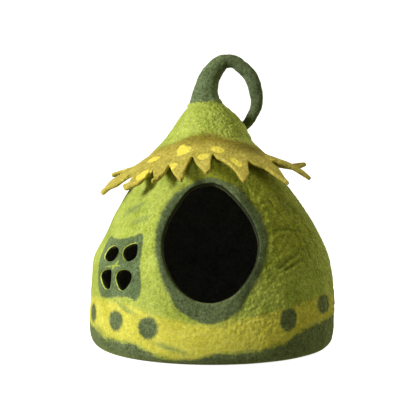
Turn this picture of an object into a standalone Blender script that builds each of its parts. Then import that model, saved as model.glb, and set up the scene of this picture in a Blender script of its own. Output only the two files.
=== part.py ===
"""A cat cave of wet-felted wool in the shape of a small gourd house.

Metres, +Z up, the doorway towards -Y. The origin is on the floor, under the middle of the body. Each felt sheet is
drawn as a flat pattern, cut there, and then wrapped to the shape in which it was felted.
"""
import math

import bmesh
import bpy
import numpy as np
from mathutils import Vector
from mathutils.geometry import delaunay_2d_cdt

# Driving dimensions
BODY_FELT = 0.0085          # thickness of the body's wall and floor
RIM_BULGE = 0.0025          # how far a felted edge rounds out at mid thickness
TOUCH_GAP = 0.0009          # between pieces that are felted together
BODY_GRAIN = 0.022          # length of the facets of the body
COLLAR_GRAIN = 0.011        # length of the facets of the collar
OPENING_GRAIN = 0.009       # length of the facets along the doorway's edge
WINDOW_GRAIN = 0.0072       # length of the facets along a window hole's edge
ROW_DEPTH = 0.87            # how far apart rows of facets lie, as a share of a facet's length
EDGE_CLEARANCE = 0.6        # how far facets keep from a cut edge, as a share of their length
CURVE_STEPS = 12            # points on a smooth curve between two rows of a table

# The body from the crown down to where it meets the floor
BODY_SECTIONS = (
    # radius, height, sideways shift of the section's middle
    (0.0265, 0.3980, -0.0100),
    (0.0340, 0.3900, -0.0080),
    (0.0470, 0.3760, -0.0055),
    (0.0600, 0.3580, -0.0045),
    (0.0725, 0.3375, -0.0070),
    (0.0872, 0.3170, -0.0065),
    (0.1085, 0.2900, -0.0050),
    (0.1270, 0.2640, -0.0045),
    (0.1450, 0.2370, -0.0030),
    (0.1610, 0.2100, -0.0015),
    (0.1745, 0.1830, 0.0000),
    (0.1860, 0.1610, -0.0010),
    (0.1940, 0.1400, -0.0015),
    (0.1980, 0.1050, 0.0000),
    (0.2000, 0.0650, 0.0000),
    (0.1995, 0.0320, -0.0008),
    (0.1955, 0.0130, -0.0008),
    (0.1860, 0.0035, 0.0000),
    (0.1670, 0.0000, 0.0000),
)

# Soft dents of the wall, which fade out towards the floor and under the collar
DENTS = (
    # how many round the body, where the first one is, depth
    (2, -1.5708, 0.0016),
    (3, 0.0, 0.0020),
    (5, 0.0, 0.0010),
)
DENT_FADE = ((0.09, 0.0), (0.15, 1.0), (0.24, 1.0), (0.29, 0.0))    # height, share of the depth

# The doorway, seen from the front
DOOR_OUTLINE = (
    # across, height
    (-0.004, 0.2645),
    (0.021, 0.2550),
    (0.0475, 0.2265),
    (0.0675, 0.1885),
    (0.0675, 0.1550),
    (0.0485, 0.1155),
    (0.0215, 0.0950),
    (-0.006, 0.0888),
    (-0.035, 0.0965),
    (-0.0640, 0.1240),
    (-0.0783, 0.1680),
    (-0.0700, 0.2070),
    (-0.0435, 0.2450),
    (-0.0230, 0.2605),
)

# The four window holes, cut by hand: angle round the body from the doorway in degrees, height
WINDOW_HOLES = (
    ((-62.5, 0.153), (-61.5, 0.163), (-57.5, 0.168), (-52.5, 0.165), (-49.8, 0.158), (-51.7, 0.146),
     (-59, 0.1455)),
    ((-47.2, 0.159), (-46, 0.169), (-39.5, 0.173), (-36.5, 0.156), (-39.2, 0.1475), (-43.5, 0.149)),
    ((-62, 0.119), (-59.5, 0.129), (-52, 0.132), (-51, 0.116), (-52, 0.104), (-57, 0.1045)),
    ((-48, 0.121), (-46, 0.132), (-40.5, 0.134), (-37.2, 0.128), (-38, 0.116), (-41.5, 0.105), (-45, 0.106)),
)

# The collar: a thin root felted to the crown, then leaves that stand off the body
COLLAR_ROOT_RADIUS = 0.074
COLLAR_LEAVES_BODY = 0.090          # radius where the collar parts from the crown
COLLAR_FELT = ((0.074, 0.0010), (0.090, 0.0028), (0.105, 0.0050), (0.18, 0.0042))   # radius, thickness
COLLAR_SLOPE = 0.33                 # fall for each metre outwards, before the leaves curl
COLLAR_FILLET = (0.015, 0.015)      # extra fall just off the crown, and over what distance
LEAF_FULLNESS = 0.54                # share of a leaf's length that it keeps at half its width
COLLAR_LEAVES = (
    # tip: angle in degrees, reach, height; notch after it: angle, reach
    (-106.0, 0.1700, 0.277, -93.0, 0.1350),
    (-80.0, 0.1723, 0.248, -51.5, 0.1490),
    (-52.0, 0.1625, 0.254, -36.0, 0.1430),
    (-32.0, 0.1560, 0.263, -26.0, 0.1310),
    (-14.5, 0.1560, 0.262, -12.6, 0.1040),
    (-1.4, 0.1470, 0.273, 4.3, 0.1000),
    (19.5, 0.1560, 0.262, 31.0, 0.1170),
    (47.5, 0.1600, 0.260, 59.5, 0.1150),
    (76.0, 0.1645, 0.268, 88.0, 0.1260),
    (108.0, 0.1785, 0.298, 119.0, 0.1300),
    (131.0, 0.1700, 0.272, 142.0, 0.1320),
    (155.0, 0.1630, 0.262, 166.0, 0.1280),
    (179.0, 0.1700, 0.268, 190.0, 0.1340),
    (204.0, 0.1720, 0.260, 215.0, 0.1320),
    (229.0, 0.1720, 0.268, 241.0, 0.1340),
)

# The stem's middle line, from its foot up and over to the tip behind the crown
STEM_PATH = (
    # x, y, z, radius
    (-0.0105, 0.0000, 0.3984, 0.0262),
    (-0.0110, 0.0000, 0.4070, 0.0230),
    (-0.0098, 0.0000, 0.4200, 0.0196),
    (-0.0030, 0.0000, 0.4430, 0.0166),
    (0.0130, 0.0000, 0.4638, 0.0132),
    (0.0275, 0.0000, 0.4690, 0.0106),
    (0.0425, 0.0000, 0.4643, 0.0106),
    (0.0644, 0.0010, 0.4434, 0.0114),
    (0.0730, 0.0040, 0.4180, 0.0110),
    (0.0738, 0.0110, 0.3945, 0.0095),
    (0.0613, 0.0280, 0.3702, 0.0082),
    (0.0490, 0.0440, 0.3615, 0.0068),
    (0.0430, 0.0520, 0.3590, 0.0036),
)
STEM_STEPS = 4              # rings between two rows of the stem's table
STEM_SIDES = 14


def smooth_curve(rows, steps, closed=False):
    """A Catmull-Rom curve through the rows of a table."""
    rows = np.asarray(rows, float)
    if closed:
        padded = np.vstack([rows[-1:], rows, rows[:2]])
    else:
        padded = np.vstack([2 * rows[:1] - rows[1:2], rows, 2 * rows[-1:] - rows[-2:-1]])
    points = []
    for before, start, end, after in zip(padded, padded[1:], padded[2:], padded[3:]):
        for t in np.arange(steps) / steps:
            bend = (end - before) * t
            bow = (2 * before - 5 * start + 4 * end - after) * t ** 2
            turn = (3 * start - before - 3 * end + after) * t ** 3
            points.append(start + (bend + bow + turn) / 2)
    if not closed:
        points.append(rows[-1])
    return np.array(points)


def evenly_spaced(loop, spacing):
    """Points at an even spacing along a closed line."""
    closed = np.vstack([loop, loop[:1]])
    run = np.concatenate([[0], np.cumsum(np.linalg.norm(np.diff(closed, axis=0), axis=1))])
    places = np.linspace(0, run[-1], round(run[-1] / spacing), endpoint=False)
    return np.column_stack([np.interp(places, run, closed[:, i]) for i in range(closed.shape[1])])


# The body's wall is a flat ring with the same angles everywhere, wrapped round the body's meridian
RADII, HEIGHTS, SHIFTS = smooth_curve(BODY_SECTIONS, CURVE_STEPS).T
MERIDIAN_STEPS = np.hypot(np.diff(RADII), np.diff(HEIGHTS))
SPREAD = np.concatenate([[0], np.cumsum(2 * MERIDIAN_STEPS / (RADII[1:] + RADII[:-1]))])


def dent(angle, height):
    """How far the wall stands out at a place, from its soft dents."""
    share = np.interp(height, *zip(*DENT_FADE))
    return share * sum(depth * math.cos(count * angle + phase) for count, phase, depth in DENTS)


def wall_point(angle, spread):
    """A point on the outside of the body. The angle is 0 at the front and grows towards +X."""
    height = np.interp(spread, SPREAD, HEIGHTS)
    radius = np.interp(spread, SPREAD, RADII) + dent(angle, height)
    shift = np.interp(spread, SPREAD, SHIFTS)
    return Vector((shift + radius * math.sin(angle), -radius * math.cos(angle), height))


def surface_normal(point_at, a, b, step):
    """The direction square to a surface, from small steps along it."""
    along_a = point_at(a + step, b) - point_at(a - step, b)
    along_b = point_at(a, b + step) - point_at(a, b - step)
    return along_a.cross(along_b).normalized()


def pattern_place(angle, spread):
    """Where a place on the wall lies in its flat pattern."""
    return (math.exp(spread) * math.sin(angle), -math.exp(spread) * math.cos(angle))


def wall_faces(flat):
    """The outer and the inner point of the body's felt at a place in its pattern."""
    angle = math.atan2(flat[0], -flat[1])
    spread = min(max(math.log(math.hypot(*flat)), 0), SPREAD[-1])
    outer = wall_point(angle, spread)
    outwards = -surface_normal(wall_point, angle, min(max(spread, 0.02), SPREAD[-1] - 0.02), 0.01)
    if spread == SPREAD[-1]:
        outwards = Vector((0, 0, -1))
    return outer, outer - BODY_FELT * outwards


def spread_at_height(height):
    return np.interp(-height, -HEIGHTS, SPREAD)


def door_in_pattern():
    """The doorway's outline, laid from the front view onto the body's pattern."""
    flat = []
    for across, height in evenly_spaced(smooth_curve(DOOR_OUTLINE, CURVE_STEPS, closed=True), OPENING_GRAIN):
        spread = spread_at_height(height)
        radius = np.interp(spread, SPREAD, RADII)
        shift = np.interp(spread, SPREAD, SHIFTS)
        flat.append(pattern_place(math.asin((across - shift) / radius), spread))
    return flat


def window_in_pattern(corners):
    """A window hole's outline, laid onto the body's pattern."""
    widest = max(RADII)
    rows = [(math.radians(degrees) * widest, height) for degrees, height in corners]
    loop = evenly_spaced(smooth_curve(rows, CURVE_STEPS, closed=True), WINDOW_GRAIN)
    return [pattern_place(arc / widest, spread_at_height(height)) for arc, height in loop]


def ring_in_pattern(spread, count):
    return [pattern_place(2 * math.pi * i / count, spread) for i in range(count)]


def wall_rings():
    """Points all over the wall's pattern, one ring below the other, a facet apart."""
    rings = []
    spread = 0.0
    while spread < SPREAD[-1]:
        radius = np.interp(spread, SPREAD, RADII)
        rings.append(ring_in_pattern(spread, max(round(2 * math.pi * radius / BODY_GRAIN), 10)))
        step = ROW_DEPTH * BODY_GRAIN / radius
        spread += step
    if SPREAD[-1] - (spread - step) < step / 2:
        rings.pop()
    rings.append(ring_in_pattern(SPREAD[-1], round(2 * math.pi * RADII[-1] / BODY_GRAIN)))
    return rings


def is_clear(point, outlines, distances):
    """Whether a pattern point keeps its distance from every cut edge."""
    nearest = [np.min(np.hypot(*(outline - point).T)) for outline in outlines]
    return all(near > distance for near, distance in zip(nearest, distances))


def times_inside(points, loop):
    """1 for each point that lies inside a closed line, and 0 for the others."""
    x, y = points[:, :1], points[:, 1:]
    x1, y1 = loop.T
    x2, y2 = np.roll(loop, -1, axis=0).T
    crosses = (y1 > y) != (y2 > y)
    rise = np.where(y2 == y1, 1, y2 - y1)
    return np.sum(crosses & (x < x1 + (y - y1) * (x2 - x1) / rise), axis=1) % 2


def cut_pattern(loops, inside):
    """Triangles between the first loop, which is the rim, and the other loops, which are holes."""
    points = [Vector(point) for loop in loops for point in loop] + [Vector(point) for point in inside]
    edges = []
    borders = []
    first = 0
    for loop in loops:
        edges += [(first + i, first + (i + 1) % len(loop)) for i in range(len(loop))]
        borders.append(range(first, first + len(loop)))
        first += len(loop)
    flat, _, triangles, sources, _, _ = delaunay_2d_cdt(points, edges, [], 1, 1e-7)
    place = {source: number for number, found in enumerate(sources) for source in found}
    corners = np.array(flat)[np.array(triangles)]
    middles = corners.mean(axis=1)
    depth = sum(times_inside(middles, np.array(loop)) for loop in loops)
    kept = [triangle for triangle, times in zip(triangles, depth) if times == 1]
    return flat, kept, [[place[i] for i in border] for border in borders]


def close_border(bm, outer, inner, bulge):
    """A strip from the outer to the inner face along a cut edge, rounded out at mid thickness."""
    count = len(outer)
    middle = []
    for i in range(count):
        along = outer[(i + 1) % count].co - outer[i - 1].co
        away = (outer[i].co - inner[i].co).cross(along).normalized()
        middle.append(bm.verts.new((outer[i].co + inner[i].co) / 2 + bulge * away))
    for i in range(count):
        j = (i + 1) % count
        bm.faces.new((outer[j], outer[i], middle[i], middle[j]))
        bm.faces.new((middle[j], middle[i], inner[i], inner[j]))


def felt_sheet(name, loops, inside, faces_at, capped, bulges):
    """A closed felt sheet from its flat pattern. A capped loop gets a disc on each face, not a cut edge."""
    flat, triangles, borders = cut_pattern(loops, inside)
    bm = bmesh.new()
    pairs = [faces_at(point) for point in flat]
    outer = [bm.verts.new(pair[0]) for pair in pairs]
    inner = [bm.verts.new(pair[1]) for pair in pairs]
    for a, b, c in triangles:
        bm.faces.new((outer[a], outer[b], outer[c]))
        bm.faces.new((inner[c], inner[b], inner[a]))
    for border, cap, bulge in zip(borders, capped, bulges):
        if cap:
            bm.faces.new([outer[i] for i in border])
            bm.faces.new([inner[i] for i in border])
        else:
            close_border(bm, [outer[i] for i in border], [inner[i] for i in border], bulge)
    bmesh.ops.delete(bm, geom=[vert for vert in bm.verts if not vert.link_faces], context="VERTS")
    bmesh.ops.recalc_face_normals(bm, faces=bm.faces)
    bmesh.ops.triangulate(bm, faces=[face for face in bm.faces if len(face.verts) == 4])
    return add_object(name, bm)


def add_object(name, bm):
    mesh = bpy.data.meshes.new(name)
    bm.to_mesh(mesh)
    bm.free()
    mesh.shade_smooth()
    mesh.set_sharp_from_angle(angle=math.radians(50))
    piece = bpy.data.objects.new(name, mesh)
    bpy.context.scene.collection.objects.link(piece)
    return piece


def wool(name, colour):
    """Dyed wool felt: matt, with no shine."""
    material = bpy.data.materials.new(name)
    material.use_nodes = True
    shader = material.node_tree.nodes["Principled BSDF"]
    shader.inputs["Base Color"].default_value = (*colour, 1)
    shader.inputs["Roughness"].default_value = 0.95
    shader.inputs["Metallic"].default_value = 0
    return material


def make_body():
    """The body, its floor and its crown in one felted shell, with the doorway and the windows cut through."""
    rings = wall_rings()
    cuts = [door_in_pattern()] + [window_in_pattern(corners) for corners in WINDOW_HOLES]
    outlines = [np.array(cut) for cut in cuts]
    # In the pattern a length is stretched by its distance from the middle over its radius on the body
    clear = []
    for outline in outlines:
        reach = np.mean(np.hypot(*outline.T))
        radius = np.interp(math.log(reach), SPREAD, RADII)
        clear.append(EDGE_CLEARANCE * BODY_GRAIN * reach / radius)
    inside = [point for ring in rings[1:-1] for point in ring if is_clear(point, outlines, clear)]
    loops = [rings[-1], rings[0], *cuts]
    capped = [True, True] + [False] * len(cuts)
    bulges = [0, 0] + [RIM_BULGE] * len(cuts)
    body = felt_sheet("felt_body", loops, inside, wall_faces, capped, bulges)
    body.data.materials.append(wool("lime_wool", (0.42, 0.50, 0.08)))


CROWN = RADII <= 0.18               # the part of the meridian that the collar can reach


def crown_height(radius):
    return np.interp(radius, RADII[CROWN], HEIGHTS[CROWN])


def collar_curl(angle):
    """How strongly the collar curls down at an angle, so that each leaf's tip is at its height."""
    angles = [math.radians(row[0]) for row in COLLAR_LEAVES]
    reaches = [row[1] - COLLAR_LEAVES_BODY for row in COLLAR_LEAVES]
    curls = [(straight_fall(row[1]) - row[2]) / reach ** 2 for row, reach in zip(COLLAR_LEAVES, reaches)]
    return np.interp(angle, angles, curls, period=2 * math.pi)


def straight_fall(radius):
    """The height of the collar's underside off the crown, before it curls."""
    out = radius - COLLAR_LEAVES_BODY
    extra_fall, distance = COLLAR_FILLET
    return crown_height(COLLAR_LEAVES_BODY) - COLLAR_SLOPE * out - extra_fall * (1 - math.exp(-out / distance))


def collar_underside(x, y):
    """A point of the collar's underside above a place in its pattern, which is its plan."""
    radius = math.hypot(x, y)
    height = crown_height(radius)
    if radius > COLLAR_LEAVES_BODY:
        curl = collar_curl(math.atan2(x, -y)) * (radius - COLLAR_LEAVES_BODY) ** 2
        height = max(height, straight_fall(radius) - curl)
    shift = np.interp(min(radius, COLLAR_LEAVES_BODY), RADII[CROWN], SHIFTS[CROWN])
    return Vector((shift + x, y, height))


def collar_faces(flat):
    """The upper and the lower point of the collar's felt at a place in its pattern."""
    up = surface_normal(collar_underside, flat[0], flat[1], 0.001)
    under = collar_underside(*flat) + TOUCH_GAP * up
    thickness = float(np.interp(math.hypot(*flat), *zip(*COLLAR_FELT)))
    return under + thickness * up, under


def collar_outline():
    """The jagged edge of the collar in plan: each leaf runs from a notch to its tip and on to the next notch."""
    rows = []
    previous = COLLAR_LEAVES[-1]
    notch_before = (previous[3] - 360, previous[4])
    for tip_angle, tip_reach, _, notch_angle, notch_reach in COLLAR_LEAVES:
        rows.append(notch_before)
        for notch in (notch_before, (notch_angle, notch_reach)):
            half_width = (notch[0] + tip_angle) / 2
            rows.append((half_width, notch[1] + LEAF_FULLNESS * (tip_reach - notch[1])))
        rows.insert(-1, (tip_angle, tip_reach))
        notch_before = (notch_angle, notch_reach)
    plan = [(reach * math.sin(math.radians(a)), -reach * math.cos(math.radians(a))) for a, reach in rows]
    return smooth_curve(plan, 3, closed=True)


def make_collar():
    """The leaf collar: one ring of felt, thin where it is felted to the crown, with a jagged edge."""
    edge = collar_outline()
    rings = []
    radius = COLLAR_ROOT_RADIUS
    while radius < max(row[1] for row in COLLAR_LEAVES):
        count = round(2 * math.pi * radius / COLLAR_GRAIN)
        turn = len(rings) % 2 / 2
        angles = [2 * math.pi * (i + turn) / count for i in range(count)]
        rings.append([(radius * math.sin(angle), -radius * math.cos(angle)) for angle in angles])
        radius += ROW_DEPTH * COLLAR_GRAIN
    clear = EDGE_CLEARANCE * COLLAR_GRAIN
    inside = [point for ring in rings[1:] for point in ring if is_clear(point, [edge], [clear])]
    loops = [edge, rings[0]]
    collar = felt_sheet("leaf_collar", loops, inside, collar_faces, [False, False], [0, 0])
    collar.data.materials.append(wool("mustard_wool", (0.45, 0.38, 0.08)))


def make_stem():
    """The curled stem: a tapered felt cord with a flared foot that stands flat on the crown."""
    path = smooth_curve(STEM_PATH, STEM_STEPS).tolist()
    bm = bmesh.new()
    across = Vector((0, 1, 0))
    rings = []
    for i, (x, y, z, radius) in enumerate(path):
        ahead = Vector(path[min(i + 1, len(path) - 1)][:3]) - Vector(path[max(i - 1, 0)][:3])
        ahead = Vector((0, 0, 1)) if i == 0 else ahead.normalized()
        side = ahead.cross(across).normalized()
        across = side.cross(ahead)
        turns = [2 * math.pi * k / STEM_SIDES for k in range(STEM_SIDES)]
        rings.append([bm.verts.new(Vector((x, y, z)) + radius * (math.cos(t) * side + math.sin(t) * across))
                      for t in turns])
    for lower, upper in zip(rings, rings[1:]):
        for k in range(STEM_SIDES):
            n = (k + 1) % STEM_SIDES
            bm.faces.new((lower[k], lower[n], upper[n], upper[k]))
    bm.faces.new(rings[0])
    bm.faces.new(rings[-1])
    bmesh.ops.recalc_face_normals(bm, faces=bm.faces)
    bmesh.ops.triangulate(bm, faces=[face for face in bm.faces if len(face.verts) == 4])
    stem = add_object("curled_stem", bm)
    stem.data.materials.append(wool("moss_wool", (0.10, 0.14, 0.05)))


def main():
    for old in list(bpy.data.objects):
        bpy.data.objects.remove(old, do_unlink=True)
    make_body()
    make_collar()
    make_stem()


main()
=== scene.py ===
"""The looks of a felted cat cave: dyed wool on a round body, a leaf collar and a curled stem."""

import math

import bpy
import numpy as np
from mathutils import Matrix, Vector, kdtree
from mathutils.geometry import delaunay_2d_cdt


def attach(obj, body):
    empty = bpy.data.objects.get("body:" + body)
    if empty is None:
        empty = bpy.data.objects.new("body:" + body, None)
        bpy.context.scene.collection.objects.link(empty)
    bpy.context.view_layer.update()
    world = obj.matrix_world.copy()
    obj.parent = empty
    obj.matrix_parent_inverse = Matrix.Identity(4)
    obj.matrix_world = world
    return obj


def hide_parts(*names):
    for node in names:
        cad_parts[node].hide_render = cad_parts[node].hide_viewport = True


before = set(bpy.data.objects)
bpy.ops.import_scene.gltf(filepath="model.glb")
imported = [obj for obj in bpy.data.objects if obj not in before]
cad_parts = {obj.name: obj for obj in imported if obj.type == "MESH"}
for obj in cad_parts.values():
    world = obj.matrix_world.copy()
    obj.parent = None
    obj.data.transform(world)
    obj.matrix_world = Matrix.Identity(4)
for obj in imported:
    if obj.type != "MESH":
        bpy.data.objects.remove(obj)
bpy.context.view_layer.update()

# Sizes are in metres and angles in degrees. Angle 0 is the doorway's side, -Y, and angles grow towards +X.
COARSE = 1.0
BODY_FELT = 0.0085
BODY_GRAIN = 0.0027 * COARSE        # facets of the body's outside
INSIDE_GRAIN = 0.0075 * COARSE      # facets of the body's inside
COLLAR_GRAIN = 0.0022 * COARSE
DOOR_GRAIN = 0.0022
WINDOW_GRAIN = 0.0015
EDGE_ROWS = (0.0004, 0.0012, 0.0024, 0.0042)    # rows of points beside a cut edge, to round it
DOOR_EDGE_FORM = (0.0024, 3.2)      # how far from a cut edge the felt starts to round off, and how squarely
WINDOW_EDGE_FORM = (0.0016, 4.0)
COLLAR_EDGE_FORM = (0.0015, 3.2)
TOUCH_GAP = 0.0009                  # between the collar and the body that carries it
CURVE_STEPS = 24                    # points from one row of a table to the next
OUTLINE_STEPS = 6                   # the same, where a line is only measured from
OUTSIDE = -0.05                     # stands for "well outside" where a wool's border is far off
MM = 1000.0                         # millimetres in a metre; the materials read millimetres

# The relief of the felt
PEBBLE_SIZE = 0.0090
PEBBLE_RISE = 0.0019
PEBBLE_SINK = 0.0007
PEBBLE_SHIFT = 0.0030               # how far the pebbles are pushed out of an even pattern
CREASE_DEPTH = 0.0021
FOLD_DEPTH = 0.0024
FOLD_WIDTH = 0.0030
RING_RISE = 0.0006
BUMP_RISE = 0.0022
BUMP_REACH = 0.0062

# The body from the crown down to where it meets the floor
BODY_SECTIONS = (
    # radius, height, sideways shift
    (0.0265, 0.3980, -0.0100),
    (0.0340, 0.3900, -0.0080),
    (0.0470, 0.3760, -0.0055),
    (0.0600, 0.3580, -0.0045),
    (0.0725, 0.3375, -0.0070),
    (0.0872, 0.3170, -0.0065),
    (0.1085, 0.2900, -0.0050),
    (0.1270, 0.2640, -0.0045),
    (0.1450, 0.2370, -0.0030),
    (0.1610, 0.2100, -0.0015),
    (0.1745, 0.1830, 0.0000),
    (0.1860, 0.1610, -0.0010),
    (0.1940, 0.1400, -0.0015),
    (0.1980, 0.1050, 0.0000),
    (0.2000, 0.0650, 0.0000),
    (0.1995, 0.0320, -0.0008),
    (0.1955, 0.0130, -0.0008),
    (0.1860, 0.0035, 0.0000),
    (0.1670, 0.0000, 0.0000),
)
DENTS = (
    # how many round the body, where the first one is, depth
    (2, -1.5708, 0.0016),
    (3, 0.0, 0.0020),
    (5, 0.0, 0.0010),
)
DENT_FADE = ((0.09, 0.0), (0.15, 1.0), (0.24, 1.0), (0.29, 0.0))    # height, share of the depth

# Seen from the front: across, height
DOOR_EDGE = (
    (-0.006, 0.2620), (0.010, 0.2590), (0.0225, 0.2510), (0.040, 0.2330), (0.056, 0.2110),
    (0.0645, 0.1890), (0.0672, 0.1750), (0.0652, 0.1590), (0.0600, 0.1410), (0.0460, 0.1190),
    (0.0300, 0.1030), (0.0125, 0.0945), (-0.005, 0.0916), (-0.024, 0.0950), (-0.042, 0.1050),
    (-0.0575, 0.1220), (-0.0690, 0.1450), (-0.0745, 0.1700), (-0.0725, 0.1890), (-0.0615, 0.2155),
    (-0.035, 0.2520),
)
RING_EDGE = (
    (-0.005, 0.2710), (0.034, 0.2580), (0.057, 0.2330), (0.071, 0.2110), (0.078, 0.1930),
    (0.080, 0.1730), (0.068, 0.1350), (0.051, 0.1050), (0.0325, 0.0780), (-0.005, 0.0630),
    (-0.042, 0.0770), (-0.059, 0.1000), (-0.074, 0.1330), (-0.083, 0.1730), (-0.078, 0.2050),
    (-0.063, 0.2370), (-0.037, 0.2580),
)

# On the wall: angle, height
WINDOW_HOLES = (
    ((-62.5, 0.153), (-61.5, 0.163), (-57.5, 0.168), (-52.5, 0.165), (-49.8, 0.158), (-51.7, 0.146),
     (-59, 0.1455)),
    ((-47.2, 0.159), (-46, 0.169), (-39.5, 0.173), (-36.5, 0.156), (-39.2, 0.1475), (-43.5, 0.149)),
    ((-62, 0.119), (-59.5, 0.129), (-52, 0.132), (-51, 0.116), (-52, 0.104), (-57, 0.1045)),
    ((-48, 0.121), (-46, 0.132), (-40.5, 0.134), (-37.2, 0.128), (-38, 0.116), (-41.5, 0.105), (-45, 0.106)),
)
PATCH_EDGE = (
    (-67, 0.1800), (-59, 0.1790), (-51, 0.1790), (-44.5, 0.1825), (-38.6, 0.1875), (-36.2, 0.1800),
    (-34.6, 0.1690), (-32.8, 0.1455), (-31.8, 0.1250), (-31.6, 0.1080), (-32.4, 0.0970), (-34.5, 0.0910),
    (-38, 0.0955), (-46, 0.0930), (-53, 0.0900), (-58.6, 0.0910), (-62, 0.1000), (-64, 0.1110),
    (-65, 0.1350), (-66.5, 0.1620),
)
PATCH_CROSS = (
    # from, to, half width
    ((-58.0, 0.1355), (-43.0, 0.1405), 0.0010),
    ((-50.6, 0.1335), (-47.2, 0.1470), 0.0012),
)
BAND_TOP = (
    (-120, 0.082), (-85, 0.084), (-58, 0.0865), (-46, 0.088), (-40, 0.085), (-31, 0.078), (-24, 0.072),
    (-15, 0.068), (-5, 0.061), (1, 0.061), (17, 0.072), (29, 0.078), (38, 0.084), (56, 0.0925),
    (72, 0.0885), (95, 0.088), (125, 0.084), (155, 0.088), (185, 0.092), (215, 0.086),
)
BAND_FOOT = (
    (-110, 0.046), (-77, 0.043), (-64, 0.038), (-55, 0.031), (-41, 0.030), (-34, 0.029), (-28, 0.021),
    (-23, 0.015), (-16, 0.009), (-8, 0.010), (-1, 0.0186), (1.4, 0.021), (18, 0.023), (33, 0.031),
    (37, 0.0415), (49, 0.051), (67.5, 0.057), (95, 0.050), (125, 0.043), (155, 0.047), (185, 0.050),
    (215, 0.044),
)
WISPS = (
    # green wisps in the band and on the wall: angle, height, half length in degrees, half height,
    # how it climbs to the right for each degree
    (-40.0, 0.0790, 9.0, 0.0060, -0.00137),
    (-17.0, 0.0270, 9.0, 0.0055, -0.00099),
    (-60.0, 0.0410, 8.0, 0.0040, -0.0008),
    (-52.0, 0.2230, 13.0, 0.0100, 0.0008),
    (-42.0, 0.2070, 9.0, 0.0060, 0.0008),
    (118.0, 0.0740, 8.0, 0.0045, -0.0008),
    (168.0, 0.0580, 9.0, 0.0045, 0.0007),
    (238.0, 0.0760, 8.0, 0.0045, -0.0006),
)
SHADE_ZONES = (
    # painted shade, a deeper green where the body's right side and the collar's shadow on it are dark: angle,
    # height, half width in degrees, half height
    (32.0, 0.222, 50.0, 0.085),
    (9.0, 0.275, 22.0, 0.034),
)
FOLDS = (
    # creases pressed into the wall: from angle, height to angle, height
    (30.3, 0.1410, 43.7, 0.1585),
    (33.3, 0.1370, 44.4, 0.1470),
    (46.0, 0.1890, 47.4, 0.1620),
    (52.0, 0.1950, 51.5, 0.1500),
    (29.6, 0.1910, 41.0, 0.1935),
    (41.0, 0.1935, 50.0, 0.1890),
    (24.0, 0.2330, 31.0, 0.2240),
    (37.0, 0.2380, 41.0, 0.2180),
    (56.0, 0.2200, 62.0, 0.1830),
)
RING_BUMPS = (
    # knots of lime wool beside the doorway's ring, seen from the front: across, height
    (0.0720, 0.2360), (0.0765, 0.2260), (0.0810, 0.2145), (0.0845, 0.2030), (0.0870, 0.1905),
    (0.0875, 0.1780), (0.0860, 0.1660),
)
COLLAR_TOP = (
    # angle, height where the mustard wool starts
    (-90, 0.3165), (-60, 0.3200), (-45, 0.3240), (-33, 0.3310), (-22, 0.3380), (-10, 0.3415),
    (4, 0.3410), (15, 0.3380), (28, 0.3335), (50, 0.3265), (75, 0.3195), (105, 0.3185), (180, 0.3200),
)
DOTS = (
    # angle, height, half width in degrees, half height
    (-68, 0.0620, 4.5, 0.0150), (-45.6, 0.0588, 4.9, 0.0155), (-27.4, 0.0540, 4.9, 0.0165),
    (33.3, 0.0645, 4.5, 0.0165), (58, 0.0795, 6.3, 0.0146), (82, 0.0700, 5.0, 0.0155),
    (106, 0.0660, 4.7, 0.0160), (130, 0.0640, 5.1, 0.0150), (154, 0.0670, 4.6, 0.0160),
    (178, 0.0700, 5.0, 0.0155), (202, 0.0680, 4.8, 0.0150), (224, 0.0650, 4.6, 0.0160),
    (247, 0.0640, 5.0, 0.0155), (270, 0.0630, 4.7, 0.0150),
)

# The collar
COLLAR_ROOT_RADIUS = 0.074
COLLAR_LEAVES_BODY = 0.090          # the radius where the collar parts from the crown
COLLAR_FELT = ((0.074, 0.0002), (0.090, 0.0028), (0.105, 0.0052), (0.18, 0.0050))       # radius, thickness
COLLAR_SLOPE = 0.33
COLLAR_FILLET = (0.015, 0.015)      # how much more it falls where it parts from the crown, and how far out
COLLAR_ARCH_LENGTH = 0.078          # how far out a leaf's arch reaches
COLLAR_LEAVES = (
    # tip: angle, reach, height; from and to which angle; how much lower its later side hangs;
    # how high it arches up
    (-106.0, 0.1700, 0.277, -117.0, -96.0, 0.1, 0.000),
    (-78.0, 0.1740, 0.248, -96.0, -61.5, 0.5, 0.000),
    (-51.0, 0.1650, 0.254, -61.5, -39.5, 0.55, 0.000),
    (-32.0, 0.1600, 0.262, -39.5, -27.0, 0.3, 0.000),
    (-14.5, 0.1620, 0.261, -27.0, -12.6, 0.1, 0.000),
    (-1.4, 0.1550, 0.272, -12.6, 4.0, 0.0, 0.000),
    (18.5, 0.1625, 0.260, 4.0, 32.0, 0.0, 0.000),
    (46.0, 0.1650, 0.258, 32.0, 60.0, 0.0, 0.001),
    (76.0, 0.1665, 0.268, 60.0, 88.0, -1.5, 0.008),
    (108.0, 0.1785, 0.298, 88.0, 119.0, 0.5, 0.000),
    (131.0, 0.1700, 0.272, 119.0, 142.0, 0.1, 0.002),
    (155.0, 0.1630, 0.262, 142.0, 166.0, 0.0, 0.000),
    (179.0, 0.1700, 0.268, 166.0, 190.0, 0.1, 0.002),
    (204.0, 0.1720, 0.260, 190.0, 215.0, 0.0, 0.000),
    (229.0, 0.1720, 0.268, 215.0, 243.0, -0.1, 0.001),
)
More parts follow.
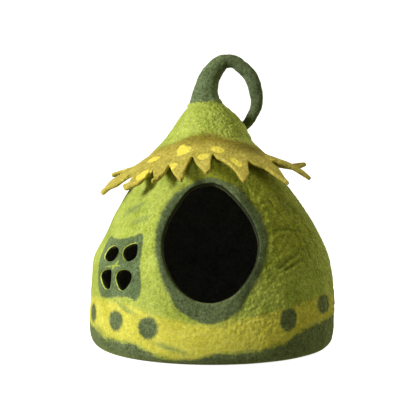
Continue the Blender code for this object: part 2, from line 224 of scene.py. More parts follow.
COLLAR_EDGE = (
    # angle, reach along the cut edge
    (-117, 0.134), (-113, 0.148), (-109, 0.164), (-106.5, 0.1705), (-103, 0.168), (-100, 0.154),
    (-96.5, 0.136), (-92.5, 0.1440), (-89, 0.1540), (-84, 0.1600), (-79.5, 0.1670), (-78, 0.1720),
    (-75.5, 0.1750), (-72, 0.1725), (-71, 0.1640), (-67, 0.1565), (-66.2, 0.1520), (-65, 0.1455),
    (-63, 0.1395), (-60.5, 0.1330), (-57.5, 0.1370), (-54, 0.1440), (-50.5, 0.1520), (-50.5, 0.1575),
    (-52, 0.1620), (-51, 0.1655), (-48.2, 0.1655), (-46.2, 0.1595), (-44.2, 0.1550), (-42.4, 0.1500),
    (-41.8, 0.1430), (-40.8, 0.1365), (-39, 0.1300), (-37, 0.1360), (-34.4, 0.1450), (-31.8, 0.1525),
    (-32, 0.1580), (-31, 0.1610), (-29.8, 0.1560), (-28, 0.1490), (-26.8, 0.1425), (-27, 0.1340),
    (-28, 0.1225), (-24.6, 0.1330), (-21, 0.1435), (-17.2, 0.1545), (-15.9, 0.1585), (-14.7, 0.1608),
    (-13, 0.1605), (-12.3, 0.1560), (-12.8, 0.1500), (-13.6, 0.1392), (-14.4, 0.1273), (-14.2, 0.1140),
    (-12.8, 0.1030), (-10.6, 0.1120), (-8, 0.1232), (-4.4, 0.1383), (-2.4, 0.1505), (-1.2, 0.1552),
    (0.3, 0.1520), (1.2, 0.1470), (1.5, 0.1336), (2, 0.1145), (4, 0.0990), (7, 0.1060), (11.5, 0.1125),
    (15.2, 0.1230), (16.8, 0.1384), (17, 0.1510), (17.6, 0.1600), (18.6, 0.1626), (20, 0.1600),
    (21.6, 0.1536), (24.4, 0.1455), (25.3, 0.1391), (27.7, 0.1269), (31.8, 0.1150), (34, 0.1215),
    (37, 0.1266), (40.2, 0.1305), (41.6, 0.1376), (43, 0.1468), (44.6, 0.1560), (46, 0.1648),
    (46.6, 0.1640), (48, 0.1546), (50.5, 0.1443), (54.5, 0.1313), (59.5, 0.1160), (64, 0.1280),
    (69, 0.1400), (72.5, 0.1540), (75, 0.1650), (77, 0.1668), (79, 0.1600), (82, 0.1460), (87.5, 0.1260),
    (93, 0.1340), (98, 0.1450), (103, 0.1600), (106.6, 0.1760), (107.6, 0.1786), (109, 0.1784),
    (110, 0.1740), (112, 0.1590), (115, 0.1420), (119, 0.1300), (124, 0.147), (128.5, 0.167),
    (131, 0.1705), (134, 0.162), (138, 0.145), (142, 0.132), (147, 0.144), (152, 0.160), (155.5, 0.1635),
    (158, 0.155), (161, 0.140), (166, 0.128), (171, 0.146), (176, 0.166), (179, 0.1705), (183, 0.160),
    (187, 0.146), (190, 0.134), (196, 0.147), (201, 0.167), (204, 0.1725), (208, 0.163), (211, 0.146),
    (215, 0.132), (221, 0.147), (226, 0.167), (229.5, 0.1725), (233, 0.164), (238, 0.149),
)
COLLAR_SPOTS = (
    # angle, distance from the collar's middle, half width, half length, lean in degrees
    (-26.5, 0.0900, 0.0070, 0.0062, 0), (-21.5, 0.0930, 0.0085, 0.0055, -35),
    (-25.0, 0.0965, 0.0050, 0.0070, 0), (-51.5, 0.1080, 0.0095, 0.0074, 0),
    (-47.5, 0.1060, 0.0060, 0.0050, 0), (-23.2, 0.1265, 0.0064, 0.0045, 0),
    (-22.6, 0.1330, 0.0038, 0.0065, 0), (-43.0, 0.1370, 0.0105, 0.0080, 0),
    (-45.0, 0.1430, 0.0070, 0.0065, 0), (-4.4, 0.1070, 0.0076, 0.0078, 0),
    (-1.8, 0.1045, 0.0050, 0.0055, 0), (7.5, 0.0900, 0.0086, 0.0040, 0),
    (10.5, 0.0925, 0.0072, 0.0045, -20), (19.5, 0.1130, 0.0055, 0.0070, 0),
    (21.2, 0.1215, 0.0052, 0.0085, 0), (78, 0.1040, 0.0080, 0.0070, 15), (98, 0.1120, 0.0070, 0.0080, 0),
    (128, 0.1000, 0.0085, 0.0070, 20), (152, 0.1180, 0.0065, 0.0085, -15),
    (181, 0.0980, 0.0090, 0.0065, 0), (205, 0.1230, 0.0070, 0.0080, 10),
    (231, 0.1040, 0.0085, 0.0070, -20), (259, 0.1150, 0.0070, 0.0085, 0),
)

# The stem's middle line
STEM_PATH = (
    # x, y, z, radius
    (-0.0100, 0.0000, 0.3930, 0.0300),
    (-0.0105, 0.0000, 0.3984, 0.0267),
    (-0.0110, 0.0000, 0.4070, 0.0230),
    (-0.0098, 0.0000, 0.4200, 0.0196),
    (-0.0030, 0.0000, 0.4430, 0.0166),
    (0.0130, 0.0000, 0.4638, 0.0132),
    (0.0275, 0.0000, 0.4690, 0.0106),
    (0.0425, 0.0000, 0.4643, 0.0106),
    (0.0644, 0.0010, 0.4434, 0.0114),
    (0.0730, 0.0040, 0.4180, 0.0110),
    (0.0738, 0.0110, 0.3945, 0.0095),
    (0.0613, 0.0280, 0.3702, 0.0082),
    (0.0490, 0.0440, 0.3615, 0.0068),
    (0.0430, 0.0520, 0.3590, 0.0030),
)
STEM_SIDES = 56
STEM_STEPS = 12


# ---------------------------------------------------------------- curves and noise
def smooth_curve(rows, steps, closed=False):
    """A Catmull-Rom curve through the rows of a table."""
    rows = np.asarray(rows, float)
    if closed:
        padded = np.vstack([rows[-1:], rows, rows[:2]])
    else:
        padded = np.vstack([2 * rows[:1] - rows[1:2], rows, 2 * rows[-1:] - rows[-2:-1]])
    points = []
    for before, start, end, after in zip(padded, padded[1:], padded[2:], padded[3:]):
        for t in np.arange(steps) / steps:
            bend = (end - before) * t
            bow = (2 * before - 5 * start + 4 * end - after) * t ** 2
            turn = (3 * start - before - 3 * end + after) * t ** 3
            points.append(start + (bend + bow + turn) / 2)
    if not closed:
        points.append(rows[-1])
    return np.array(points)


def evenly_spaced(loop, spacing):
    """Points at an even spacing along a closed line."""
    closed = np.vstack([loop, loop[:1]])
    run = np.concatenate([[0], np.cumsum(np.linalg.norm(np.diff(closed, axis=0), axis=1))])
    places = np.linspace(0, run[-1], max(round(run[-1] / spacing), 8), endpoint=False)
    return np.column_stack([np.interp(places, run, closed[:, i]) for i in range(closed.shape[1])])


def scatter(cells, seed):
    """Repeatable random numbers from 0 to 1 for whole-number cells."""
    x, y, z = cells.T
    mixed = (x * 374761393 + y * 668265263 + z * 1442695041 + seed * 362437) & 0xFFFFFFFF
    mixed = ((mixed ^ (mixed >> 13)) * 1274126177) & 0xFFFFFFFF
    return ((mixed ^ (mixed >> 16)) & 0xFFFF) / 65535.0


def swell(points, size, seed):
    """Soft ups and downs of about a size, from -1 to 1."""
    places = points / size
    cells = np.floor(places).astype(np.int64)
    part = places - cells
    part = part * part * (3 - 2 * part)
    total = np.zeros(len(points))
    for corner in np.ndindex(2, 2, 2):
        weight = np.prod(np.where(corner, part, 1 - part), axis=1)
        total += weight * scatter(cells + np.array(corner), seed)
    return 2 * total - 1


def pebbles(points, size, seed):
    """Round bumps packed side by side, from 0 in the creases between them to 1 on top."""
    places = points / size
    cells = np.floor(places).astype(np.int64)
    nearest = np.full(len(points), 9.0)
    for corner in np.ndindex(3, 3, 3):
        cell = cells + np.array(corner) - 1
        middle = cell + np.column_stack([scatter(cell, seed + i) for i in range(3)])
        nearest = np.minimum(nearest, np.sum((places - middle) ** 2, axis=1))
    return np.clip(1 - nearest / 0.75, 0, 1)


def ramp(values, low, high):
    """0 below low, 1 above high, and smooth in between."""
    share = np.clip((values - low) / (high - low), 0, 1)
    return share * share * (3 - 2 * share)


def turn_from(degrees, middle):
    """How many degrees angles are past a middle one, from -180 to 180."""
    return (degrees - middle + 180) % 360 - 180


def times_inside(points, loop):
    """1 for each point that lies inside a closed line, and 0 for the others."""
    x1, y1 = loop.T
    x2, y2 = np.roll(loop, -1, axis=0).T
    rise = np.where(y2 == y1, 1, y2 - y1)
    result = []
    for first in range(0, len(points), 20000):
        x = points[first:first + 20000, :1]
        y = points[first:first + 20000, 1:]
        crosses = (y1 > y) != (y2 > y)
        result.append(np.sum(crosses & (x < x1 + (y - y1) * (x2 - x1) / rise), axis=1) % 2)
    return np.concatenate(result)


def line_distance(points, start, end):
    """How far points are from a straight line between two places."""
    along = np.asarray(end) - np.asarray(start)
    share = np.clip((points - start) @ along / (along @ along), 0, 1)
    return np.linalg.norm(points - start - share[:, None] * along, axis=1)


def inside_by(points, loop):
    """How far each point is inside a closed line; negative outside it."""
    distance = np.full(len(points), 9.0)
    for start, end in zip(loop, np.roll(loop, -1, axis=0)):
        distance = np.minimum(distance, line_distance(points, start, end))
    return np.where(times_inside(points, loop) > 0, distance, -distance)


# ---------------------------------------------------------------- felt sheets from flat patterns
def widened(loop, distance, scale):
    """A closed line of a pattern moved outwards by a distance on the felt, or inwards if that is negative."""
    ahead = np.roll(loop, -1, axis=0) - np.roll(loop, 1, axis=0)
    away = np.column_stack([ahead[:, 1], -ahead[:, 0]])
    away /= np.linalg.norm(away, axis=1, keepdims=True)
    x, y = loop.T
    turning = np.sum(x * np.roll(y, -1) - y * np.roll(x, -1))
    return loop + math.copysign(1, turning) * away * (distance * scale(loop))[:, None]


def distance_to(points, lines, scale):
    """How far pattern points are from the nearest of some closed lines, measured on the felt."""
    marks = np.vstack([smooth_curve(line, 4, closed=True) for line in lines])
    tree = kdtree.KDTree(len(marks))
    for i, (x, y) in enumerate(marks):
        tree.insert((x, y, 0), i)
    tree.balance()
    return np.array([tree.find((x, y, 0))[2] for x, y in points]) / scale(points)


def triangulate(points, loops):
    """Triangles over pattern points, which keep to the loops' lines and leave out what is inside a hole."""
    edges = []
    first = 0
    for loop in loops:
        edges += [(first + i, first + (i + 1) % len(loop)) for i in range(len(loop))]
        first += len(loop)
    _, _, found, sources, _, _ = delaunay_2d_cdt([Vector(point) for point in points], edges, [], 1, 1e-9)
    place = np.array([source[0] for source in sources])
    triangles = place[np.array(found)]
    middles = points[triangles].mean(axis=1)
    depth = sum(times_inside(middles, loop) for loop in loops)
    return triangles[depth == 1]


def felt_piece(name, skin, scale, cuts, into, caps, fills, grains):
    """One closed piece of felt, whose outer and inner faces meet along every cut edge.

    skin gives, for pattern points, the middle of the felt, its outward direction, thickness, relief
    and edge form. The result is the piece and, for each of its points, the pattern point, how far it is
    from a cut edge, and on which side it lies, from 1 outside to -1 inside.
    """
    border = sum(len(cut) for cut in cuts)
    rows = [widened(cut, way * row, scale) for cut, way in zip(cuts, into) for row in EDGE_ROWS]
    rows = np.vstack(rows)
    reach = np.concatenate([np.full(len(cut), row) for cut in cuts for row in EDGE_ROWS])
    rows = rows[distance_to(rows, cuts, scale) > 0.8 * reach]
    places = []
    patterns = []
    edges = []
    sides = []
    faces = []
    total = 0
    for side, fill, grain in zip((1, -1), fills, grains):
        fill = fill[distance_to(fill, cuts, scale) > EDGE_ROWS[-1] + 0.5 * grain]
        if caps:
            fill = fill[distance_to(fill, caps, scale) > 0.5 * grain]
        flat = np.vstack([*cuts, *caps, rows, fill])
        triangles = triangulate(flat, [*cuts, *caps])
        edge = distance_to(flat, cuts, scale)
        edge[:border] = 0
        middle, away, thick, relief, (roundness, square) = skin(flat)
        near = 1 - np.clip(edge / roundness, 0, 1)
        share = side * (1 - near ** square) ** (1 / square)
        lift = share * thick / 2
        if side > 0:
            lift = lift + relief * (1 - near)
        index = np.arange(len(flat)) + total
        if side < 0:
            index[:border] = np.arange(border)
        faces += index[triangles[:, ::side]].tolist()
        first = border
        for cap in caps:
            faces.append(index[first:first + len(cap)].tolist())
            first += len(cap)
        places.append(middle + away * lift[:, None])
        patterns.append(flat)
        edges.append(edge)
        sides.append(share)
        total += len(flat)
    used = np.unique(np.concatenate([np.array(face) for face in faces]))
    new = np.zeros(total, int)
    new[used] = np.arange(len(used))
    faces = [new[face].tolist() for face in faces]
    piece = add_mesh(name, np.vstack(places)[used], faces)
    return piece, np.vstack(patterns)[used], np.concatenate(edges)[used], np.concatenate(sides)[used]


def add_mesh(name, points, faces):
    """A smooth-shaded mesh object."""
    mesh = bpy.data.meshes.new(name)
    mesh.from_pydata(points.tolist(), [], faces)
    mesh.validate()
    mesh.update()
    mesh.shade_smooth()
    piece = bpy.data.objects.new(name, mesh)
    bpy.context.scene.collection.objects.link(piece)
    return piece


def paint(piece, **fields):
    """Stores one number for each point of a piece, which its material reads."""
    for name, values in fields.items():
        field = piece.data.attributes.new(name, "FLOAT", "POINT")
        field.data.foreach_set("value", np.asarray(values, dtype=np.float32))


def square_to(surface, a, b, step):
    """The direction square to a surface at its places a, b."""
    along_a = surface(a + step, b) - surface(a - step, b)
    along_b = surface(a, b + step) - surface(a, b - step)
    across = np.cross(along_a, along_b)
    return across / np.linalg.norm(across, axis=-1, keepdims=True)


# ---------------------------------------------------------------- the body
RADII, HEIGHTS, SHIFTS = smooth_curve(BODY_SECTIONS, CURVE_STEPS).T
STEPS_DOWN = np.hypot(np.diff(RADII), np.diff(HEIGHTS))
# How far down the wall a place is, in radii of the body there: it makes the pattern true to shape
SPREAD = np.concatenate([[0], np.cumsum(2 * STEPS_DOWN / (RADII[1:] + RADII[:-1]))])
WIDEST = RADII.max()


def wall(angle, spread):
    """A place on the outside of the body."""
    height = np.interp(spread, SPREAD, HEIGHTS)
    dents = sum(depth * np.cos(count * angle + phase) for count, phase, depth in DENTS)
    radius = np.interp(spread, SPREAD, RADII) + dents * np.interp(height, *zip(*DENT_FADE))
    shift = np.interp(spread, SPREAD, SHIFTS)
    return np.stack([shift + radius * np.sin(angle), -radius * np.cos(angle), height], axis=-1)


def in_pattern(angle, spread):
    """Points of the body's flat pattern, a ring for each height, from an angle and a spread."""
    return np.column_stack([np.exp(spread) * np.sin(angle), -np.exp(spread) * np.cos(angle)])


def from_pattern(flat):
    """The angle and the spread of pattern points."""
    spread = np.clip(np.log(np.hypot(*flat.T)), 0, SPREAD[-1])
    return np.arctan2(flat[:, 0], -flat[:, 1]), spread


def pattern_scale(flat):
    """How much larger the body's pattern is than the felt, at a place."""
    spread = from_pattern(flat)[1]
    return np.exp(spread) / np.interp(spread, SPREAD, RADII)


def spread_at(height):
    """The spread of the wall at a height."""
    return np.interp(-np.asarray(height), -HEIGHTS, SPREAD)


def front_line(rows, spacing):
    """A closed line seen from the front, laid onto the body's pattern."""
    across, height = evenly_spaced(smooth_curve(rows, CURVE_STEPS, closed=True), spacing).T
    spread = spread_at(height)
    sine = (across - np.interp(spread, SPREAD, SHIFTS)) / np.interp(spread, SPREAD, RADII)
    return in_pattern(np.arcsin(sine), spread)


def wall_line(rows, spacing):
    """A closed line on the wall, given by angle and height, as arc and height."""
    arcs = [(math.radians(angle) * WIDEST, height) for angle, height in rows]
    return evenly_spaced(smooth_curve(arcs, CURVE_STEPS, closed=True), spacing)


def wall_line_in_pattern(rows, spacing):
    """A closed line on the wall, given by angle and height, in the body's pattern."""
    arc, height = wall_line(rows, spacing).T
    return in_pattern(arc / WIDEST, spread_at(height))


def wall_rings(grain):
    """Points all over the body's pattern, one ring below the other."""
    rings = []
    spread = 0.0
    while spread < SPREAD[-1]:
        radius = np.interp(spread, SPREAD, RADII)
        count = round(2 * math.pi * radius / grain)
        turns = 2 * math.pi * (np.arange(count) + len(rings) % 2 / 2) / count
        rings.append(in_pattern(turns, np.full(count, spread)))
        spread += 0.87 * grain / radius
    return rings


def end_ring(spread, grain):
    """The ring of the pattern that borders a flat cap."""
    count = round(2 * math.pi * np.interp(spread, SPREAD, RADII) / grain)
    return in_pattern(2 * math.pi * np.arange(count) / count, np.full(count, spread))


def roughness_of_wall(angle, height):
    """How pebbly the felt is: smooth on the left, rough on the right and on the hood."""
    rough = 0.45 + 0.45 * np.sin(angle - 0.15)
    hood = ramp(height, 0.33, 0.36) * (0.38 + 0.42 * np.sin(angle + 0.1))
    foot = 1 - ramp(height, 0.03, 0.09)
    return np.clip(0.12 + rough + hood - 0.35 * foot, 0.1, 1.2)


def by_window(angle, height):
    """Whether places on the wall are by the window holes."""
    return (angle < math.radians(-31)) & (angle > math.radians(-70)) & (height > 0.09) & (height < 0.19)


def creases(angle, height):
    """Long shallow creases of the felt, which climb to the right: 1 at the bottom of a crease."""
    arc = angle * WIDEST
    along = 0.85 * arc + 0.53 * height
    across = 0.85 * height - 0.53 * arc
    lines = swell(np.column_stack([along / 5, across, 0 * arc]), 0.012, 51)
    areas = swell(np.column_stack([along, across, 0 * arc]), 0.045, 53)
    return np.exp(-(lines / 0.16) ** 2) * ramp(areas, -0.6, 0.4)


def folds(angle, height):
    """The pressed creases: 1 at the bottom of one, 0 away from them."""
    arcs = np.column_stack([angle * WIDEST, height])
    steps = np.column_stack([arcs, 0 * height])
    arcs += 0.0035 * np.column_stack([swell(steps, 0.014, 71), swell(steps, 0.014, 72)])
    depth = np.zeros(len(arcs))
    for first_angle, first_height, last_angle, last_height in FOLDS:
        start = (math.radians(first_angle) * WIDEST, first_height)
        end = (math.radians(last_angle) * WIDEST, last_height)
        depth = np.maximum(depth, np.exp(-(line_distance(arcs, start, end) / FOLD_WIDTH) ** 2))
    return depth


def inside_ring(place):
    """How far places on the wall are inside the outer edge of the doorway's dark ring."""
    outline = smooth_curve(RING_EDGE, OUTLINE_STEPS, closed=True)
    return np.where(place[:, 1] < 0, inside_by(place[:, ::2], outline), OUTSIDE)


def wall_relief(place, angle):
    """How far the felt stands proud of the body's plain form, with its pebbles, creases and folds."""
    height = place[:, 2]
    rough = roughness_of_wall(angle, height)
    shifts = np.column_stack([swell(place, 0.011, seed) for seed in (61, 62, 63)])
    pebbled = PEBBLE_RISE * pebbles(place + PEBBLE_SHIFT * shifts, PEBBLE_SIZE, 11) - PEBBLE_SINK
    relief = rough * pebbled + 0.0008 * swell(place, 0.026, 5)
    creased = ramp(rough, 0.45, 0.9) * (1 - ramp(height, 0.25, 0.28))
    relief -= CREASE_DEPTH * creased * creases(angle, height)
    relief -= FOLD_DEPTH * folds(angle, height)
    ring = inside_ring(place)
    relief = relief * np.where(ring > 0, 0.6, 1.0) + RING_RISE * ramp(ring, -0.002, 0.004)
    for bump in RING_BUMPS:
        beside = np.where(place[:, 1] < 0, np.linalg.norm(place[:, ::2] - bump, axis=1), 9)
        relief += BUMP_RISE * ramp(1 - beside / BUMP_REACH, 0, 0.8)
    # Smooth and a little sunk under the collar, and flat on the floor
    under_collar = ramp(height, 0.262, 0.285)
    relief = relief * (1 - under_collar * (1 - ramp(height, 0.3365, 0.3405)))
    relief -= 0.0008 * under_collar * (1 - ramp(height, 0.3275, 0.3335))
    return relief * ramp(height, 0.0, 0.012)


def body_skin(flat):
    """The body's felt at pattern points, as felt_piece asks for it."""
    angle, spread = from_pattern(flat)
    place = wall(angle, spread)
    away = -square_to(wall, angle, np.clip(spread, 0.03, SPREAD[-1] - 0.03), 0.015)
    window = by_window(angle, place[:, 2])
    form = [np.where(window, *pair) for pair in zip(WINDOW_EDGE_FORM, DOOR_EDGE_FORM)]
    return place - away * BODY_FELT / 2, away, np.full(len(flat), BODY_FELT), wall_relief(place, angle), form


def mustard_from(degrees):
    """The height where the mustard wool starts, at angles round the body."""
    return np.interp(degrees, *zip(*COLLAR_TOP), period=360)


def oval_share(degrees, height, middle, level, half_width, half_height, climb=0.0):
    """0 in the middle of an oval on the wall, and 1 on its edge."""
    turn = turn_from(degrees, middle)
    return np.hypot(turn / half_width, (height - level - climb * turn) / half_height)


def inside_cross(arcs):
    """How far places on the wall are inside the lime cross between the window holes."""
    inside = np.full(len(arcs), OUTSIDE)
    for start, end, half_width in PATCH_CROSS:
        ends = [(math.radians(angle) * WIDEST, height) for angle, height in (start, end)]
        taper = 0.06 * np.linalg.norm(arcs - np.mean(ends, axis=0), axis=1)
        inside = np.maximum(inside, half_width + 0.0008 - taper - line_distance(arcs, *ends))
    return inside


def paint_body(body, flat, edge, side):
    """Marks where each wool and each painted shade lies on the body: how far inside it each point is, in mm.
    """
    angle, spread = from_pattern(flat)
    place = wall(angle, spread)
    height = place[:, 2]
    degrees = np.degrees(angle)
    arcs = np.column_stack([angle * WIDEST, height])
    ring = inside_ring(place)
    patch = inside_by(arcs, wall_line(PATCH_EDGE, 0.004))
    top = np.interp(degrees, *zip(*BAND_TOP), period=360)
    foot = np.interp(degrees, *zip(*BAND_FOOT), period=360)
    dots = np.max([(1 - oval_share(degrees, height, *row)) * 0.8 * row[3] for row in DOTS], axis=0)
    wisps = np.max([(0.6 - oval_share(degrees, height, *row)) * row[3] for row in WISPS], axis=0)
    # Painted shade: a deeper green where the body's right side and the collar's shadow on it are dark
    deep = np.max([1 - oval_share(degrees, height, *row) for row in SHADE_ZONES], axis=0)
    rough = roughness_of_wall(angle, height)
    moss = np.maximum.reduce([ring, patch, dots, foot - height]) > 0
    window = by_window(angle, height)
    depth = -side * BODY_FELT / 2 * MM          # below the felt's middle layer
    # sets where the painted near-black shade in the cut edges begins
    shade_from = np.where(window, 1.3, 3.0 + 0.7 * ramp(height, 0.225, 0.262))
    paint(
        body,
        ring=ring * MM,
        patch=patch * MM,
        cross=inside_cross(arcs) * MM,
        dots=dots.clip(OUTSIDE, None) * MM,
        wisps=wisps.clip(OUTSIDE, None) * MM,
        band=np.minimum(top - height, height - foot) * MM,
        base=(foot - height) * MM,
        # olive wool at the collar's root, darkened there as painted shade
        brim=np.where(height > 0.3, mustard_from(degrees) - height, OUTSIDE) * MM,
        crown=(height - 0.3965) * MM,
        # painted shade on the body's right side and under the collar's front
        deep=deep.clip(-1, None) * 40,
        # painted shade on the doorway ring's inner edge at both sides
        dusk=np.minimum(ring, np.abs(place[:, 0] + 0.004) - 0.045) * MM,
        # painted shade in the pressed creases
        crease=np.where(side > 0, folds(angle, height) - 0.75, -1),
        line=np.where(window, depth + 3.3, -3.0),
        # painted shade: near-black in the cut edges and just inside them
        inner=depth + shade_from,
        # painted shade: grey over the inside
        hollow=np.where(side < 0, edge - 0.012, OUTSIDE) * MM,
        rough=rough * np.where(ring > 0, 0.5, 1),
        speckle=np.where(moss, 1.7, 0.35 + 1.15 * rough),
    )


def make_body():
    """The body and its floor: one shell of felt with the doorway and the window holes cut through."""
    cuts = [front_line(DOOR_EDGE, DOOR_GRAIN)]
    cuts += [wall_line_in_pattern(rows, WINDOW_GRAIN) for rows in WINDOW_HOLES]
    caps = [end_ring(SPREAD[-1], 2 * BODY_GRAIN), end_ring(0, BODY_GRAIN)]
    grains = (BODY_GRAIN, INSIDE_GRAIN)
    fills = []
    for grain in grains:
        fill = np.vstack(wall_rings(grain)[1:])
        holes = sum(times_inside(fill, cut) for cut in cuts)
        fills.append(fill[(holes == 0) & (np.log(np.hypot(*fill.T)) < SPREAD[-1])])
    into = [1] * len(cuts)
    body, *marks = felt_piece("body_felt", body_skin, pattern_scale, cuts, into, caps, fills, grains)
    paint_body(body, *marks)
    return body


# ---------------------------------------------------------------- the collar
CROWN = RADII <= 0.18


def crown_height(radius):
    """The height of the body's crown at a distance from its middle."""
    return np.interp(radius, RADII[CROWN], HEIGHTS[CROWN])


def straight_fall(radius):
    """The height of the collar's underside off the crown, before it curls."""
    out = radius - COLLAR_LEAVES_BODY
    extra_fall, distance = COLLAR_FILLET
    return crown_height(COLLAR_LEAVES_BODY) - COLLAR_SLOPE * out - extra_fall * (1 - np.exp(-out / distance))


def leaf_forms():
    """Angles round the collar, and at each of them how strongly it curls down and how much it arches up."""
    rows = []
    for tip, reach, height, first, last, lean, arch in COLLAR_LEAVES:
        curl = (straight_fall(reach) - height) / (reach - COLLAR_LEAVES_BODY) ** 2
        rows.append((first + 1.5, curl * (1 - lean), arch))
        rows.append((tip, curl, arch))
        rows.append((last - 1.5, curl * (1 + lean), arch))
    return np.array(rows).T


LEAF_ANGLES, LEAF_CURLS, LEAF_ARCHES = leaf_forms()


def collar_under(x, y):
    """The underside of the collar above a place in its pattern, which is its plan."""
    radius = np.hypot(x, y)
    out = np.clip(radius - COLLAR_LEAVES_BODY, 0, None)
    degrees = np.degrees(np.arctan2(x, -y))
    curl = np.interp(degrees, LEAF_ANGLES, LEAF_CURLS, period=360)
    arch = np.interp(degrees, LEAF_ANGLES, LEAF_ARCHES, period=360)
    arch *= np.sin(np.pi * np.clip(out / COLLAR_ARCH_LENGTH, 0, 1))
    body = crown_height(radius)
    hanging = straight_fall(np.maximum(radius, COLLAR_LEAVES_BODY)) - curl * out ** 2 + arch
    height = np.where(out > 0, np.maximum(body, hanging), body)
    shift = np.interp(np.minimum(radius, COLLAR_LEAVES_BODY), RADII[CROWN], SHIFTS[CROWN])
    return np.stack([shift + x, y, height], axis=-1)


def collar_skin(flat):
    """The collar's felt at pattern points, as felt_piece asks for it."""
    x, y = flat.T
    radius = np.hypot(x, y)
    away = square_to(collar_under, x, y, 0.0015)
    thick = np.interp(radius, *zip(*COLLAR_FELT))
    free = ramp(radius, 0.095, 0.13)
    under = collar_under(x, y)
    wave = 0.0012 * free * swell(under, 0.028, 21)
    middle = under + away * (TOUCH_GAP * ramp(radius, 0.074, 0.085) + thick / 2 + wave)[:, None]
    relief = 0.0005 * pebbles(under, 0.006, 31) * ramp(radius, 0.076, 0.09)
    relief += 0.0003 * free * swell(under, 0.008, 23)
    return middle, away, thick, relief, COLLAR_EDGE_FORM


def collar_outline():
    """The jagged edge of the collar in plan."""
    angles, reach = np.array(COLLAR_EDGE).T
    angles = np.radians(angles)
    plan = np.column_stack([reach * np.sin(angles), -reach * np.cos(angles)])
    return smooth_curve(plan, 10, closed=True)


def make_collar():
    """The collar: a ring of felt, thin where it is felted to the crown and cut into leaves at its rim."""
    outline = evenly_spaced(collar_outline(), COLLAR_GRAIN * 0.8)
    count = round(2 * math.pi * COLLAR_ROOT_RADIUS / COLLAR_GRAIN)
    turns = 2 * math.pi * np.arange(count) / count
    root = COLLAR_ROOT_RADIUS * np.column_stack([np.sin(turns), -np.cos(turns)])
    rings = []
    radius = COLLAR_ROOT_RADIUS
    while radius < np.hypot(*outline.T).max():
        radius += 0.87 * COLLAR_GRAIN
        count = round(2 * math.pi * radius / COLLAR_GRAIN)
        turns = 2 * math.pi * (np.arange(count) + len(rings) % 2 / 2) / count
        rings.append(radius * np.column_stack([np.sin(turns), -np.cos(turns)]))
    fill = np.vstack(rings)
    fill = fill[times_inside(fill, outline) > 0]
    collar, flat, _, side = felt_piece(
        "collar_felt", collar_skin, lambda flat: np.ones(len(flat)), [outline, root], [-1, 1], [],
        [fill, fill], [COLLAR_GRAIN, COLLAR_GRAIN])
    radius = np.hypot(*flat.T)
    degrees = np.degrees(np.arctan2(flat[:, 0], -flat[:, 1]))
    spots = np.full(len(flat), OUTSIDE)
    for middle, reach, half_width, half_length, lean in COLLAR_SPOTS:
        across = np.radians(turn_from(degrees, middle)) * radius
        out = radius - reach
        c = math.cos(math.radians(lean))
        s = math.sin(math.radians(lean))
        share = np.hypot((c * across + s * out) / half_width, (c * out - s * across) / half_length)
        spots = np.maximum(spots, (1 - share) * min(half_width, half_length))
    above = (crown_height(radius) - mustard_from(degrees)) * MM
    paint(
        collar,
        root=above,
        # olive at the collar's root, and painted shade that reaches further out on the collar's right side
        fade=above + 8 + 14 * np.cos(np.radians(degrees - 52)),
        spots=np.where(side > -0.3, spots, OUTSIDE) * MM,
        rough=np.full(len(flat), 0.5),
        speckle=np.where(spots > 0, 0.3, 0.95),
    )
    return collar


# ---------------------------------------------------------------- the stem
def make_stem():
    """The stem: a solid cord of felt that thins to its tip, with creases round its foot."""
    path = smooth_curve(STEM_PATH, STEM_STEPS)
    run = np.concatenate([[0], np.cumsum(np.linalg.norm(np.diff(path[:, :3], axis=0), axis=1))])
    turns = 2 * math.pi * np.arange(STEM_SIDES) / STEM_SIDES
    across = Vector((0, 1, 0))
    points = []
    for i, (x, y, z, radius) in enumerate(path.tolist()):
        before = Vector(path[max(i - 1, 0)][:3].tolist())
        after = Vector(path[min(i + 1, len(path) - 1)][:3].tolist())
        ahead = Vector((0, 0, 1)) if i < STEM_STEPS else (after - before).normalized()
        side = ahead.cross(across).normalized()
        across = side.cross(ahead)
        near_foot = math.exp(-run[i] / 0.03)
        uneven = 1 + 0.035 * near_foot * np.cos(9 * turns + 0.7) + 0.022 * np.cos(4 * turns + 25 * run[i])
        reach = radius * (uneven if i else 1.0)
        ring = np.outer(reach * np.cos(turns), side) + np.outer(reach * np.sin(turns), across)
        points.append(np.array((x, y, z)) + ring)
    points = np.vstack(points)
    middle = np.repeat(path[:, :3], STEM_SIDES, axis=0)
    away = points - middle
    away /= np.linalg.norm(away, axis=1, keepdims=True)
    lift = 0.0006 * swell(points, 0.007, 41) + 0.0005 * pebbles(points, 0.006, 43)
    points += away * lift[:, None]
    faces = []
    for first in range(0, (len(path) - 1) * STEM_SIDES, STEM_SIDES):
        for k in range(STEM_SIDES):
            n = (k + 1) % STEM_SIDES
            faces.append([first + k, first + STEM_SIDES + k, first + STEM_SIDES + n, first + n])
    faces.append(list(range(STEM_SIDES)))
    faces.append(list(range((len(path) - 1) * STEM_SIDES, len(path) * STEM_SIDES))[::-1])
    stem = add_mesh("stem_felt", points, faces)
    paint(
        stem,
        # painted shade on the stem's far limb
        deep=(points[:, 0] - 0.022) * MM,
        foot=(0.0045 - np.repeat(run, STEM_SIDES)) * MM,
        rough=np.full(len(points), 0.5),
        speckle=np.full(len(points), 1.7),
    )
    return stem


# ---------------------------------------------------------------- dyed wool
def linear(colour):
    """A colour from its sRGB hex code."""
    parts = [int(colour[i:i + 2], 16) / 255 for i in (1, 3, 5)]
    return (*[c / 12.92 if c <= 0.04045 else ((c + 0.055) / 1.055) ** 2.4 for c in parts], 1)


def add_node(tree, kind, inputs=(), **settings):
    """Adds a shader node. Each of its inputs gets a value or another node's output."""
    made = tree.nodes.new("ShaderNode" + kind)
    for name, value in settings.items():
        setattr(made, name, value)
    for name, value in dict(inputs).items():
        if isinstance(value, bpy.types.NodeSocket):
            tree.links.new(value, made.inputs[name])
        else:
            made.inputs[name].default_value = value
    return made


